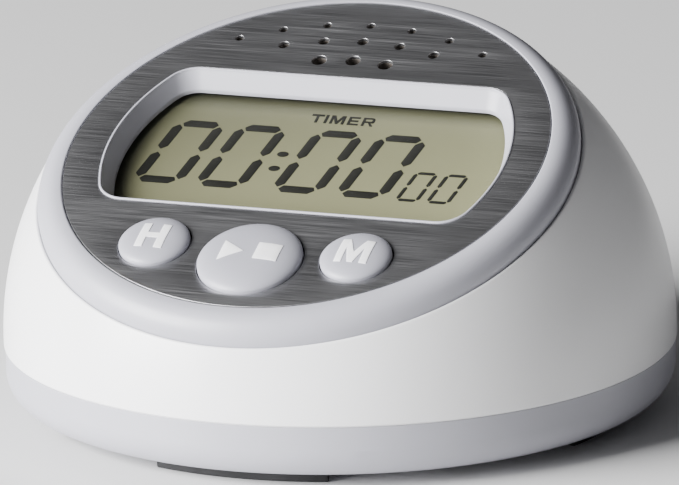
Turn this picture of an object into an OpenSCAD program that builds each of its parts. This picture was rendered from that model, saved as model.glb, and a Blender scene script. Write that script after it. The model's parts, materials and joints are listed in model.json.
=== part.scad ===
// Lab timer: domed countdown timer with a sloping display face, three keys and a loud sounder.
// Units are millimetres. The front faces -Y, the feet stand on z = 0.

/* [Body] */
// radius of the dome sphere
dome_r = 47.35; // [40:0.05:60]
// height of the dome sphere's centre above the seam
dome_lift = 1.25; // [0:0.05:4]
// height of the seam between shell and base
seam_z = 9.5; // [8:0.1:16]
// wall of the upper shell
shell_wall = 2.2; // [1.6:0.1:3]
// underside of the base above the table
base_z = 1.85; // [1:0.05:4]
// floor of the base
base_floor = 2; // [1.5:0.1:3]
// radius of the base's flat underside
base_low_r = 42.85; // [40:0.05:50]
// radius of the base at the seam
base_top_r = 47.15; // [40:0.05:50]
// corner round of the base's lower edge
base_round = 4.3; // [0.5:0.1:6]
// height of the step that centres the shell
spigot_h = 2; // [1:0.1:3]

/* [Face] */
// tilt of the face from level
face_tilt = 24; // [10:0.5:45]
// distance of the steel face from the dome sphere's centre
face_h = 30.8; // [25:0.1:36]
// the steel face's centre sits this far up the slope
face_shift = 0.5; // [0:0.1:2]
// radius of the steel face plate
plate_r = 34.25; // [28:0.05:38]
// thickness of the steel face plate
plate_t = 0.5; // [0.3:0.1:1]
// radius of the opening in the shell
opening_r = 38.2; // [32:0.1:42]
// roll of the bezel ring's edge
ring_round = 3.1; // [1:0.1:4]
// height of the bezel ring above the steel face
ring_rise = 0.1; // [0:0.05:0.6]
// thickness of the bezel under the steel face
web_t = 2.4; // [1.6:0.1:3]

/* [Display] */
// side radius of the display window
window_r = 29.2; // [24:0.1:32]
// upper edge of the window, up the slope from the plate's centre
window_top = 17; // [12:0.1:22]
// lower edge of the window
window_low = -13.4; // [-20:0.1:-8]
// corner radius of the window
window_corner = 4.6; // [2:0.1:8]
// width of the raised lip round the window
lip_w = 0.35; // [0.2:0.05:0.8]
// side radius of the clear opening at the window's foot
clear_r = 27.5; // [22:0.1:30]
// upper edge of the clear opening
clear_top = 14.9; // [10:0.1:20]
// lower edge of the clear opening
clear_low = -11.8; // [-18:0.1:-6]
// thickness of the display lens
lens_t = 1; // [0.6:0.1:2]
// width of the display glass
glass_w = 57.6; // [40:0.1:62]
// thickness of the display glass
glass_t = 2.6; // [1.8:0.1:3.2]

/* [Keys] */
// radius of the hour and minute buttons
small_key_r = 5; // [3:0.05:7]
// radius of the start and stop button
large_key_r = 7.35; // [5:0.05:9]
// distance of the small buttons from the middle
small_key_x = 14.75; // [12:0.1:18]
// place of the small buttons down the slope
small_key_v = -22.2; // [-26:0.1:-18]
// place of the large button down the slope
large_key_v = -24.3; // [-28:0.1:-20]
// travel of a button
key_travel = 0.6; // [0.3:0.1:1.2]

/* [Sounder] */
// middle of the grille's polar grid, up the slope
grille_v = -8.1; // [-12:0.1:0]
// angle between holes in the grille
grille_step = 9.8; // [6:0.1:14]
// radius of the sounder
sounder_r = 11.5; // [8:0.1:14]
// place of the sounder up the slope
sounder_v = 20.5; // [16:0.1:24]

/* [Battery] */
// diameter of one cell
cell_d = 10.4; // [10:0.1:14.5]
// length of one cell with its button
cell_l = 44.5; // [40:0.1:50.5]
// distance the battery door slides before it lifts off
door_travel = 7; // [5:0.5:12]
// width of the battery door
door_w = 51; // [40:0.5:60]
// length of the battery door
door_l = 30; // [26:0.5:40]

/* [Hidden] */
$fn = 96;

gap = 0.15;
big = 200;
key_gap = 0.3;
dome_z = seam_z + dome_lift;
dome_in = dome_r - shell_wall;
web_low = -plate_t - web_t;
ring_in = 36;
lip_rise = 0.15;
bezel_foot = -11;
funnel_low = -2.4;
lens_low = funnel_low - lens_t;
glass_top = lens_low - 0.2;
glass_low = glass_top - glass_t;
glass_v0 = -14.2;
glass_v1 = 17.2;
board_top = -9;
board_t = 1.6;
board_low = board_top - board_t;
board_r = 33.3;
post_r = 2.3;
post_spots = [[-25, -18.9], [25, -18.9], [-22, 20.8], [22, 20.8]];
key_flange = 1;
mark_rise = 0.08;
small_edge = 0.5;
small_crown = 1.4;
large_edge = 0.6;
large_crown = 1.9;
key_seat = web_low - 0.2;
key_foot = key_seat - 0.8;
stem_low = key_foot - 0.4;
switch_w = 6;
switch_top = board_top + 3.5;
plunger_r = 1.7;
boss_r = 3.5;
boss_ring = 39.5;
boss_turn = 45;
boss_top = 17.5;
bay_x = 24;
bay_y = 11.5;
bay_wall = 1.4;
bay_top = 15.2;
bay_floor = 4.9;
tail_top = 18;
lead_end = 0.25;
cell_z = 9.4;
cell_y = 5.6;
door_y0 = -13;
door_t = 1.7;
door_gap = 0.3;
recess_top = base_z + 2;
tab_l = 6;
tab_w = 1.4;
tab_t = 0.8;
tab_z = base_z + 0.9;
foot_r0 = 37.3;
foot_r1 = 41;
foot_turn = 18;
knob_x = 5;
knob_z = 2.2;
slot_x = 11;
slot_z = 7.3;
slot_h = 2.7;

// the dome sphere's centre, with z along the face's own axis
module on_axis() {
    translate([0, 0, dome_z])
        rotate([face_tilt, 0, 0])
            children();
}

// the centre of the steel face's upper surface
module on_face() {
    on_axis()
        translate([0, face_shift, face_h])
            children();
}

// a disc between two heights
module slab(r, low, high) {
    translate([0, 0, low])
        cylinder(r = r, h = high - low);
}

// a pipe between two heights
module pipe(r_out, r_in, low, high) {
    difference() {
        slab(r_out, low, high);
        slab(r_in, low - 1, high + 1);
    }
}

// a box given by its corners
module block(a, b) {
    translate(a)
        cube([b[0] - a[0], b[1] - a[1], b[2] - a[2]]);
}

// a round wire through a list of points, with a slightly larger ball at each bend
module wire(points, r) {
    for (i = [0 : len(points) - 2]) {
        a = points[i];
        d = points[i + 1] - a;
        turn = acos(d[2] / norm(d));
        heading = atan2(d[1], d[0]);
        translate(a)
            rotate([0, turn, heading])
                cylinder(r = r, h = norm(d), $fn = 24);
        if (i > 0)
            translate(a)
                sphere(r = 1.12 * r, $fn = 24);
    }
}

// the window's outline: two arcs and two straight edges with round corners
module window_outline(r, low, high, corner) {
    offset(r = corner)
        offset(delta = -corner)
            intersection() {
                circle(r = r);
                translate([-r, low])
                    square([2 * r, high - low]);
            }
}

// the grille holes: three arcs on one polar grid, larger towards the middle of the face
module grille(low, high, extra) {
    rows = [[37.1, 7, 0.62], [33.4, 5, 0.78], [29, 3, 1.08]];
    for (row = rows) {
        for (i = [0 : row[1] - 1]) {
            turn = (i - (row[1] - 1) / 2) * grille_step;
            translate([row[0] * sin(turn), grille_v + row[0] * cos(turn), 0])
                slab(row[2] + extra, low, high);
        }
    }
}

// the three button places
module key_places(small, large) {
    for (side = [-1, 1])
        translate([side * small_key_x, small_key_v, 0])
            children(small);
    translate([0, large_key_v, 0])
        children(large);
}

// the four case screw places
module case_places() {
    for (turn = [boss_turn, 180 - boss_turn, 180 + boss_turn, -boss_turn])
        rotate([0, 0, turn])
            translate([boss_ring, 0, 0])
                children();
}

module upper_shell() {
    color("white")
    union() {
        difference() {
            translate([0, 0, dome_z])
                sphere(r = dome_r);
            translate([0, 0, dome_z])
                sphere(r = dome_in);
            translate([-big / 2, -big / 2, seam_z - big])
                cube(big);
            on_axis()
                slab(opening_r, 5, 80);
        }
        difference() {
            intersection() {
                case_places()
                    union() {
                        slab(boss_r, seam_z + 0.3, boss_top);
                        block([0, -0.8, seam_z + spigot_h + 0.4], [9, 0.8, boss_top]);
                    }
                translate([0, 0, dome_z])
                    sphere(r = dome_in + 0.4);
            }
            case_places()
                slab(1.15, seam_z, boss_top - 1);
        }
    }
}

module bezel() {
    color([0.82, 0.82, 0.85])
    difference() {
        union() {
            on_axis()
                rotate_extrude() {
                    // rolled edge over a straight wall
                    translate([opening_r - gap - ring_round, face_h + ring_rise - ring_round])
                        intersection() {
                            circle(r = ring_round);
                            square(ring_round);
                        }
                    translate([ring_in, face_h + bezel_foot])
                        square([opening_r - gap - ring_in, ring_rise - ring_round - bezel_foot]);
                    translate([20, face_h + ring_rise - ring_round])
                        square([opening_r - gap - ring_round - 20, ring_round]);
                }
            // flange behind the edge of the shell's opening
            intersection() {
                on_axis()
                    pipe(40.6, ring_in, face_h + bezel_foot, face_h - 4);
                translate([0, 0, dome_z])
                    sphere(r = dome_in - 0.1);
            }
            on_face()
                slab(36.2, web_low, -plate_t);
            // frame that stands up through the steel face
            on_face()
                translate([0, 0, web_low])
                    linear_extrude(web_t + plate_t + lip_rise)
                        window_outline(window_r, window_low, window_top, window_corner);
            // board posts
            on_face()
                for (spot = post_spots)
                    translate([spot[0], spot[1], 0])
                        slab(post_r, board_top, web_low + 0.2);
        }
        // seat for the steel face, with the window's frame left standing in it
        on_face()
            difference() {
                slab(plate_r + gap, -plate_t, 5);
                translate([0, 0, -2])
                    linear_extrude(8)
                        window_outline(window_r, window_low, window_top, window_corner);
            }
        // hollow under the web
        on_face()
            difference() {
                slab(33.5, -10, web_low);
                for (spot = post_spots)
                    translate([spot[0], spot[1], 0])
                        slab(post_r, -11, 0);
            }
        // sloping walls of the window
        on_face()
            hull() {
                translate([0, 0, lip_rise])
                    linear_extrude(0.2)
                        window_outline(window_r - lip_w, window_low + lip_w, window_top - lip_w,
                            window_corner - lip_w);
                translate([0, 0, funnel_low - 0.1])
                    linear_extrude(0.1)
                        window_outline(clear_r, clear_low, clear_top, window_corner - 1);
            }
        // pocket for the lens
        on_face()
            block([-29.2, -13.4, web_low - 1], [29.2, 16.6, funnel_low]);
        on_face()
            key_places(0, 1) {
                slab(small_key_r + key_gap, web_low - 1, 1);
                slab(large_key_r + key_gap, web_low - 1, 1);
            }
        on_face()
            grille(web_low - 1, 1, 0.4);
        // screw holes in the board posts
        on_face()
            for (spot = post_spots)
                translate([spot[0], spot[1], 0])
                    slab(0.75, board_top - 1, web_low - 0.4);
    }
}

module face_plate() {
    color([0.42, 0.42, 0.45])
    on_face()
        difference() {
            slab(plate_r, -plate_t, 0);
            translate([0, 0, -1])
                linear_extrude(2)
                    window_outline(window_r + 0.06, window_low - 0.06, window_top + 0.06, window_corner);
            key_places(0, 1) {
                slab(small_key_r + key_gap, -1, 1);
                slab(large_key_r + key_gap, -1, 1);
            }
            grille(-1, 1, 0);
        }
}

module display_lens() {
    color([0.9, 0.95, 0.95, 0.4])
    on_face()
        block([-29.05, -13.25, lens_low], [29.05, 16.45, funnel_low]);
}

module display_glass() {
    color([0.72, 0.73, 0.6])
    on_face()
        union() {
            block([-glass_w / 2, glass_v0 + 2, glass_low], [glass_w / 2, glass_v1, glass_top]);
            block([-glass_w / 2, glass_v0, glass_top - 1.1], [glass_w / 2, glass_v1, glass_top]);
        }
}

module display_reflector() {
    color("silver")
    on_face()
        block([-glass_w / 2 + 0.4, glass_v0 + 2.4, glass_low - 0.2],
            [glass_w / 2 - 0.4, glass_v1 - 0.4, glass_low]);
}

module display_frame() {
    color("white")
    on_face()
        difference() {
            block([-30.1, -15.5, board_top], [30.1, 18.2, web_low - 0.1]);
            block([-glass_w / 2 - 0.1, glass_v0 - 0.1, glass_low - 0.25],
                [glass_w / 2 + 0.1, glass_v1 + 0.1, 0]);
            block([-29.3, -13.5, lens_low - 0.1], [29.3, 16.9, 0]);
            block([-26, -9.5, board_top - 1], [26, 8.5, 0]);
            block([-25.6, glass_v0 + 0.05, board_top - 1], [25.6, glass_v0 + 1.75, 0]);
            translate([0, sounder_v, 0])
                slab(sounder_r - 1.6, board_top - 1, glass_low - 1.2);
        }
}

module contact_strip() {
    color("dimgray")
    on_face()
        block([-25.4, glass_v0 + 0.2, board_top], [25.4, glass_v0 + 1.6, glass_top - 1.1]);
}

module main_board() {
    color([0.08, 0.35, 0.18])
    on_face()
        difference() {
            slab(board_r, board_low, board_top);
            translate([0, sounder_v, 0])
                slab(9.4, board_low - 1, board_top + 1);
            for (spot = post_spots)
                translate([spot[0], spot[1], 0])
                    slab(1.1, board_low - 1, board_top + 1);
        }
}

module controller_blob() {
    color([0.08, 0.08, 0.08])
    on_face()
        translate([-6, -5, board_low])
            intersection() {
                slab(6, -1.6, 0);
                translate([0, 0, 10.2])
                    sphere(r = 11.8);
            }
}

module crystal() {
    color("silver")
    on_face()
        translate([9, -3, board_low - 1.05])
            rotate([90, 0, 0])
                cylinder(r = 1.05, h = 6, $fn = 32);
}

module tact_switch() {
    difference() {
        block([-switch_w / 2, -switch_w / 2, board_top], [switch_w / 2, switch_w / 2, switch_top]);
        slab(plunger_r + 0.08, switch_top - 1.9, switch_top + 1);
    }
}

module key_switches() {
    color([0.12, 0.12, 0.12])
    on_face()
        key_places(0, 0)
            tact_switch();
}

module plunger() {
    slab(plunger_r, switch_top - 1.1, stem_low);
}

module hour_plunger() {
    color([0.9, 0.88, 0.8])
    on_face()
        translate([-small_key_x, small_key_v, 0])
            plunger();
}

module start_stop_plunger() {
    color([0.9, 0.88, 0.8])
    on_face()
        translate([0, large_key_v, 0])
            plunger();
}

module minute_plunger() {
    color([0.9, 0.88, 0.8])
    on_face()
        translate([small_key_x, small_key_v, 0])
            plunger();
}

// radius of the ball that gives a key its dome
function ball_r(r, rise) = (r * r + rise * rise) / (2 * rise);

// a domed key with a flange under the web and a stem over its switch
module key(r, edge, crown) {
    ball = ball_r(r, crown - edge);
    intersection() {
        slab(r, key_foot, crown + 1);
        translate([0, 0, crown - ball])
            sphere(r = ball);
    }
    slab(r + key_flange, key_foot, key_seat);
    slab(1.5, stem_low, key_foot + 0.2);
}

// a flat mark standing just proud of a key's dome
module proud(r, edge, crown) {
    ball = ball_r(r, crown - edge);
    intersection() {
        linear_extrude(crown + 1)
            children();
        translate([0, 0, crown - ball + mark_rise])
            sphere(r = ball);
    }
}

// the letter H as three bars
module hour_mark() {
    for (side = [-1, 1])
        translate([side * 1.42 - 0.58, -2.48])
            square([1.16, 4.96]);
    translate([-1.2, -0.5])
        square([2.4, 1]);
}

// the letter M as an outline
module minute_mark() {
    polygon([[-2.35, -2.38], [-2.35, 2.38], [-1.15, 2.38], [0, -0.3], [1.15, 2.38], [2.35, 2.38],
        [2.35, -2.38], [1.3, -2.38], [1.3, 0.6], [0.4, -2.38], [-0.4, -2.38], [-1.3, 0.6], [-1.3, -2.38]]);
}

// play and stop marks
module run_mark() {
    polygon([[-3.85, -2.4], [-3.85, 1.8], [-0.6, -0.3]]);
    translate([1.15, -1.65])
        square(3.4);
}

module hour_button() {
    color([0.8, 0.8, 0.84])
    on_face()
        translate([-small_key_x, small_key_v, 0])
            union() {
                key(small_key_r, small_edge, small_crown);
                proud(small_key_r, small_edge, small_crown)
                    hour_mark();
            }
}

module start_stop_button() {
    color([0.8, 0.8, 0.84])
    on_face()
        translate([0, large_key_v, 0])
            union() {
                key(large_key_r, large_edge, large_crown);
                proud(large_key_r, large_edge, large_crown)
                    run_mark();
            }
}

module minute_button() {
    color([0.8, 0.8, 0.84])
    on_face()
        translate([small_key_x, small_key_v, 0])
            union() {
                key(small_key_r, small_edge, small_crown);
                proud(small_key_r, small_edge, small_crown)
                    minute_mark();
            }
}

module sounder_gasket() {
    color([0.2, 0.2, 0.2])
    on_face()
        translate([0, sounder_v, 0])
            pipe(sounder_r, 9.7, board_low - 0.8, board_low);
}

module sounder_frame() {
    top = board_low - 0.8;
    color([0.3, 0.3, 0.32])
    on_face()
        translate([0, sounder_v, 0])
            difference() {
                union() {
                    slab(sounder_r, top - 1.2, top);
                    slab(9.6, top - 3.6, top);
                }
                slab(9, top - 2.6, top + 1);
                slab(6.1, top - 5, top + 1);
            }
}

module sounder_cone() {
    top = board_low - 0.8;
    color([0.85, 0.8, 0.6, 0.6])
    on_face()
        translate([0, sounder_v, top - 1])
            difference() {
                union() {
                    slab(8.9, 0, 0.3);
                    intersection() {
                        slab(4, 0, 2);
                        translate([0, 0, -5.6])
                            sphere(r = 6.9);
                    }
                }
                translate([0, 0, -5.9])
                    sphere(r = 6.9);
            }
}

module sounder_magnet() {
    top = board_low - 0.8;
    color([0.55, 0.55, 0.58])
    on_face()
        translate([0, sounder_v, 0])
            union() {
                slab(6, top - 5, top - 2);
                slab(7, top - 5, top - 3.65);
            }
}

module base_cover() {
    color([0.8, 0.8, 0.83])
    difference() {
        union() {
            // outer tub with a rolled lower edge
            difference() {
                rotate_extrude() {
                    polygon([[0, base_z], [base_low_r, base_z], [base_low_r + base_round, base_z + base_round],
                        [base_top_r, seam_z], [0, seam_z]]);
                    translate([base_low_r, base_z + base_round])
                        circle(r = base_round);
                }
                translate([0, 0, base_z + base_floor])
                    cylinder(r1 = base_low_r + 0.5, r2 = base_top_r - 2.3, h = seam_z);
                slab(base_top_r + 5, seam_z, seam_z + 5);
            }
            pipe(dome_in - 0.25, dome_in - 1.7, base_z + base_floor - 0.2, seam_z + spigot_h);
            // thick floor round the battery bay, and the bay itself
            block([-30.5, -15.5, base_z + 0.5], [30.5, 32, bay_floor]);
            block([-bay_x - bay_wall, -bay_y - bay_wall, base_z],
                [bay_x + bay_wall, bay_y + bay_wall, bay_top + bay_wall]);
            // pillars for the case screws
            case_places()
                slab(boss_r, base_z + 0.5, seam_z);
            // rails for the volume switch
            for (side = [-1, 1])
                block([side * 6.4 - 0.7, 38.2, base_z + 1], [side * 6.4 + 0.7, 44, seam_z]);
        }
        block([-bay_x, -bay_y, -1], [bay_x, bay_y, bay_top]);
        for (side = [-1, 1])
            block([bay_x - 0.5, side * 5.6 - 1.1, bay_top - 1], [bay_x, side * 5.6 + 1.1, bay_top + 3]);
        // recess for the door, its side channels and the notches where its tabs drop out
        block([-door_w / 2 - door_gap, door_y0 - door_gap, -1],
            [door_w / 2 + door_gap, door_y0 + door_l + door_travel + door_gap, recess_top]);
        for (side = [-1, 1])
            translate([side * (door_w / 2 + tab_w / 2 + door_gap / 2), 0, 0])
                for (start = [door_y0 + 3, door_y0 + 17]) {
                    block([-tab_w / 2 - door_gap / 2 - 0.2, start - door_gap, tab_z - 0.15],
                        [tab_w / 2 + door_gap / 2, start + tab_l + door_travel + door_gap, recess_top]);
                    block([-tab_w / 2 - door_gap / 2 - 0.2, start + door_travel - door_gap, -1],
                        [tab_w / 2 + door_gap / 2, start + tab_l + door_travel + door_gap, recess_top]);
                }
        case_places() {
            slab(3.1, -1, base_z + 3);
            slab(1.6, -1, seam_z + 1);
        }
        // slot for the volume knob in the rear wall
        block([-slot_x / 2, 40, slot_z - slot_h / 2], [slot_x / 2, 60, slot_z + slot_h / 2]);
        // seats for the feet
        for (turn = [0 : 90 : 270])
            rotate([0, 0, turn])
                foot_shape(foot_turn + 0.2, 0.1, base_z - 1, base_z + 0.5);
    }
}

// one curved foot, centred on the front
module foot_shape(turn, extra, low, high) {
    rotate([0, 0, -90 - turn])
        rotate_extrude(angle = 2 * turn)
            translate([foot_r0 - extra, low])
                square([foot_r1 - foot_r0 + 2 * extra, high - low]);
}

module foot(place) {
    color([0.1, 0.1, 0.1])
    rotate([0, 0, place])
        foot_shape(foot_turn, 0, 0, base_z + 0.5);
}

module front_foot() {
    foot(0);
}

module rear_foot() {
    foot(180);
}

module left_foot() {
    foot(-90);
}

module right_foot() {
    foot(90);
}

module battery_door() {
    color([0.78, 0.78, 0.81])
    difference() {
        union() {
            block([-door_w / 2, door_y0, base_z], [door_w / 2, door_y0 + door_l, base_z + door_t]);
            for (side = [-1, 1])
                for (start = [door_y0 + 3, door_y0 + 17])
                    translate([side * (door_w / 2 + tab_w / 2 - 0.2), 0, 0])
                        block([-tab_w / 2 - 0.2, start, tab_z],
                            [tab_w / 2 + 0.2, start + tab_l, tab_z + tab_t]);
            // thumb ribs
            for (i = [0 : 3])
                block([-8, door_y0 + door_l - 4 - 1.8 * i, base_z - 0.4],
                    [8, door_y0 + door_l - 3.2 - 1.8 * i, base_z + 0.2]);
        }
        // hollow for the thumb in front of the ribs
        translate([0, door_y0 + door_l - 13, base_z - 2.2])
            rotate([0, 90, 0])
                cylinder(r = 2.9, h = 16, center = true);
    }
}

// one cell lying along X, its plus button at +X
module cell() {
    rotate([0, 90, 0])
        union() {
            translate([0, 0, -cell_l / 2])
                cylinder(r = cell_d / 2, h = cell_l - 0.9);
            cylinder(r = 1.9, h = cell_l / 2);
        }
}

module front_cell() {
    color([0.75, 0.55, 0.2])
    translate([0.1, -cell_y, cell_z])
        cell();
}

module rear_cell() {
    color([0.75, 0.55, 0.2])
    translate([-0.1, cell_y, cell_z])
        rotate([0, 0, 180])
            cell();
}

// contact coil: turns on a short post, open towards +X
module coil() {
    rotate([0, 90, 0])
        union() {
            for (i = [0 : 2])
                translate([0, 0, 0.35 + 0.42 * i])
                    rotate_extrude()
                        translate([3.1 - 0.45 * i, 0])
                            circle(r = 0.33, $fn = 24);
        }
}

module bridge_contact() {
    color("silver")
    union() {
        block([-bay_x, -9.5, cell_z - 3.8], [-bay_x + 0.4, 9.5, cell_z + 3.6]);
        translate([-bay_x + 0.3, -cell_y, cell_z])
            coil();
        translate([-bay_x + 0.2, cell_y, cell_z])
            rotate([0, 90, 0])
                cylinder(r = 2.2, h = 1.2);
    }
}

module plus_contact() {
    color("silver")
    union() {
        block([bay_x - 0.4, -9, cell_z - 3.4], [bay_x, -2.2, cell_z + 3.4]);
        block([bay_x - 0.4, -6.6, cell_z + 3.2], [bay_x, -4.6, tail_top]);
        translate([bay_x - 1.3, -cell_y, cell_z])
            rotate([0, 90, 0])
                cylinder(r = 2.2, h = 1.1);
    }
}

module minus_contact() {
    color("silver")
    union() {
        block([bay_x - 0.4, 2.2, cell_z - 3.4], [bay_x, 9, cell_z + 3.4]);
        block([bay_x - 0.4, 4.6, cell_z + 3.2], [bay_x, 6.6, tail_top]);
        translate([bay_x - 0.3, cell_y, cell_z])
            mirror([1, 0, 0])
                coil();
    }
}

module volume_switch() {
    color([0.15, 0.15, 0.16])
    difference() {
        block([-5.6, 38.6, slot_z - 2.1], [5.6, 43, slot_z + 2.1]);
        block([-4.7, 40.2, slot_z - 1], [4.7, 44, slot_z + 1]);
    }
}

module volume_knob() {
    color([0.12, 0.12, 0.12])
    union() {
        block([-1.2, 40.6, slot_z - 0.8], [1.2, 44.6, slot_z + 0.8]);
        block([-knob_x / 2, 44.4, slot_z - knob_z / 2], [knob_x / 2, 47.3, slot_z + knob_z / 2]);
    }
}

// a pan head screw pointing up
module screw(head_r, head_h, r, l) {
    difference() {
        union() {
            slab(head_r, -head_h, 0);
            slab(r, -head_h / 2, l);
        }
        for (turn = [0, 90])
            rotate([0, 0, turn])
                block([-head_r * 0.62, -0.25, -head_h - 1], [head_r * 0.62, 0.25, -head_h * 0.45]);
    }
}

module case_screws() {
    color("silver")
    case_places()
        translate([0, 0, base_z + 3])
            screw(2.6, 1.6, 1.15, 11);
}

module board_screws() {
    color("silver")
    on_face()
        for (spot = post_spots)
            translate([spot[0], spot[1], board_low])
                screw(1.9, 1.1, 0.75, 6);
}

// height of the board's underside above a point y
function board_z(y) = dome_z + (face_h + board_low + y * sin(face_tilt)) / cos(face_tilt);

module red_lead() {
    color("firebrick")
    wire([[bay_x - 0.2, -5.6, tail_top], [bay_x - 0.2, -5.6, tail_top + 2], [25, -6.5, 23],
        [22, -7.5, 26.8], [21, -7.5, board_z(-7.5) - lead_end]], 0.45);
}

module black_lead() {
    color([0.08, 0.08, 0.08])
    wire([[bay_x - 0.2, 5.6, tail_top], [bay_x - 0.2, 5.6, tail_top + 2], [25, 3, 25],
        [22, -2, 28.6], [21, -3, board_z(-3) - lead_end]], 0.45);
}

module sounder_leads() {
    color("firebrick")
    on_face()
        for (side = [-1, 1])
            wire([[side * 4, sounder_v - 9, board_low - 3.6], [side * 5, sounder_v - 13, board_low - 3.4],
                [side * 5, sounder_v - 13.5, board_low - 0.1]], 0.4);
}

upper_shell();
bezel();
face_plate();
display_lens();
display_glass();
display_reflector();
display_frame();
contact_strip();
main_board();
controller_blob();
crystal();
key_switches();
hour_plunger();
start_stop_plunger();
minute_plunger();
hour_button();
start_stop_button();
minute_button();
sounder_gasket();
sounder_frame();
sounder_cone();
sounder_magnet();
base_cover();
battery_door();
front_cell();
rear_cell();
bridge_contact();
plus_contact();
minus_contact();
volume_switch();
volume_knob();
front_foot();
rear_foot();
left_foot();
right_foot();
case_screws();
board_screws();
red_lead();
black_lead();
sounder_leads();
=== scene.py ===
import json
import math
import bmesh
import bpy
import numpy as np
from mathutils import Matrix, Vector


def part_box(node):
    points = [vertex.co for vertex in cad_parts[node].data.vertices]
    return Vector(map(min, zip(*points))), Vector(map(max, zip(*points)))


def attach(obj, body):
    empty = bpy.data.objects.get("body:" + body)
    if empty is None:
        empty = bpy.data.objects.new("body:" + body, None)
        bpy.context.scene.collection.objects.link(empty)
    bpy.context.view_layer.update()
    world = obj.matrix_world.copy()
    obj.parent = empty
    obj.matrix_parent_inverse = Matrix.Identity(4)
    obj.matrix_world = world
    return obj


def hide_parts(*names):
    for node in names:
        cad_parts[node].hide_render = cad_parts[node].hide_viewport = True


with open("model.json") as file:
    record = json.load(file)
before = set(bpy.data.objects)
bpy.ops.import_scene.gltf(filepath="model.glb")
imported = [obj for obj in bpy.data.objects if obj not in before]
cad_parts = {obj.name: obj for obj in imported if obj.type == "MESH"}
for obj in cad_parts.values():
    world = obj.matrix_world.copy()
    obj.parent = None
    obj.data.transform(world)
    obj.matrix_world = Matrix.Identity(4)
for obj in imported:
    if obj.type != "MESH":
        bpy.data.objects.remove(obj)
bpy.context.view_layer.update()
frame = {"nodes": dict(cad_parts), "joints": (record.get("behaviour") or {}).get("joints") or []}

scene = bpy.context.scene
mm = 0.001
print("lab timer: frame loaded,", len(frame["nodes"]), "nodes")

pressAxis = next(j["axis"] for j in frame["joints"] if j["name"] == "start_stop_press")
faceNormal = -np.array(pressAxis, float) / np.linalg.norm(pressAxis)
faceUp = np.array([0.0, faceNormal[2], -faceNormal[1]])
faceSide = np.array([1.0, 0.0, 0.0])
shellLow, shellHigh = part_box("upper_shell")

# all in millimetres, as are the other pieces' values
body = {
    "domeRadius": (shellHigh.x - shellLow.x) / 2 / mm,
    "seamZ": shellLow.z / mm,
    "domeLift": 1.25,
    "wall": 2.2,
    "faceHeight": 30.8,
    "faceShift": 0.5,
}
domeCentre = np.array([0.0, 0.0, body["seamZ"] + body["domeLift"]])


def placeOnAxis(points):
    # world = dome centre + u * side + v * up the slope + n * face normal
    points = np.asarray(points, float)
    u, v, n = points[..., :1], points[..., 1:2], points[..., 2:3]
    return (domeCentre + u * faceSide + v * faceUp + n * faceNormal) * mm


def placeOnFace(points):
    # the same, measured from the centre of the steel face
    return placeOnAxis(np.asarray(points, float) + [0.0, body["faceShift"], body["faceHeight"]])


def placeUpright(points):
    # plain millimetres to metres
    return np.asarray(points, float) * mm


def gridFaces(rows, cols, wrapRows):
    # quads between neighbouring rows and columns; columns always close on themselves
    index = np.arange(rows * cols).reshape(rows, cols)
    near = index if wrapRows else index[:-1]
    far = np.roll(index, -1, 0) if wrapRows else index[1:]
    return np.stack([near, np.roll(near, -1, 1), np.roll(far, -1, 1), far], -1).reshape(-1, 4)


def buildMesh(name, verts, faces):
    # signed volume = sum of corner triple products; a negative one means the faces point inwards
    corners = np.concatenate([f[:, [0, i, i + 1]] for f in faces for i in range(1, f.shape[1] - 1)])
    volume = np.einsum("ij,ij->", verts[corners[:, 0]],
                       np.cross(verts[corners[:, 1]], verts[corners[:, 2]]))
    if volume < 0:
        faces = [f[:, ::-1] for f in faces]
    mesh = bpy.data.meshes.new(name)
    mesh.from_pydata(verts.tolist(), [], [q for f in faces for q in f.tolist()])
    mesh.polygons.foreach_set("use_smooth", np.ones(len(mesh.polygons), bool))
    mesh.update()
    return mesh


def addPiece(name, mesh, material, rider="timer", sharpAngle=None):
    mesh.materials.clear()
    mesh.materials.append(material)
    if sharpAngle:
        mesh.set_sharp_from_angle(angle=math.radians(sharpAngle))
    piece = bpy.data.objects.new(name, mesh)
    scene.collection.objects.link(piece)
    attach(piece, rider)
    return piece


def skinPiece(name, grid, material, rider="timer", closed=True, sharpAngle=None):
    # a grid of rows of rings; closed joins the last row to the first,
    # otherwise each end row gets a centre point
    rows, cols = grid.shape[:2]
    verts = grid.reshape(-1, 3)
    faces = [gridFaces(rows, cols, closed)]
    if not closed:
        verts = np.concatenate([verts, grid[:1].mean(1), grid[-1:].mean(1)])
        ring = np.arange(cols)
        first = np.stack([np.full(cols, rows * cols), np.roll(ring, -1), ring], 1)
        lastRow = (rows - 1) * cols
        last = np.stack([np.full(cols, rows * cols + 1), ring, np.roll(ring, -1)], 1) + [0, lastRow, lastRow]
        faces += [first, last]
    return addPiece(name, buildMesh(name, verts, faces), material, rider, sharpAngle)


def softCorners(corners, radii, steps=7, loop=True):
    # each corner becomes an arc tangent to both of its edges
    corners = np.asarray(corners, float)
    out = []
    for i, (p, r) in enumerate(zip(corners, radii)):
        if r == 0 or (not loop and i in (0, len(corners) - 1)):
            out.append(p[None])
            continue
        a = corners[i - 1] - p
        b = corners[(i + 1) % len(corners)] - p
        la, lb = np.linalg.norm(a), np.linalg.norm(b)
        a, b = a / la, b / lb
        half = math.acos(np.clip(a @ b, -1, 1)) / 2
        reach = min(r / math.tan(half), 0.49 * la, 0.49 * lb)
        size = reach * math.tan(half)
        middle = p + (a + b) / np.linalg.norm(a + b) * size / math.sin(half)
        start, end = p + a * reach - middle, p + b * reach - middle
        sweep = math.acos(np.clip(start @ end / size**2, -1, 1))
        t = np.linspace(0, 1, steps)[:, None]
        out.append(middle + (np.sin((1 - t) * sweep) * start + np.sin(t * sweep) * end) / math.sin(sweep))
    return np.concatenate(out)


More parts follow.
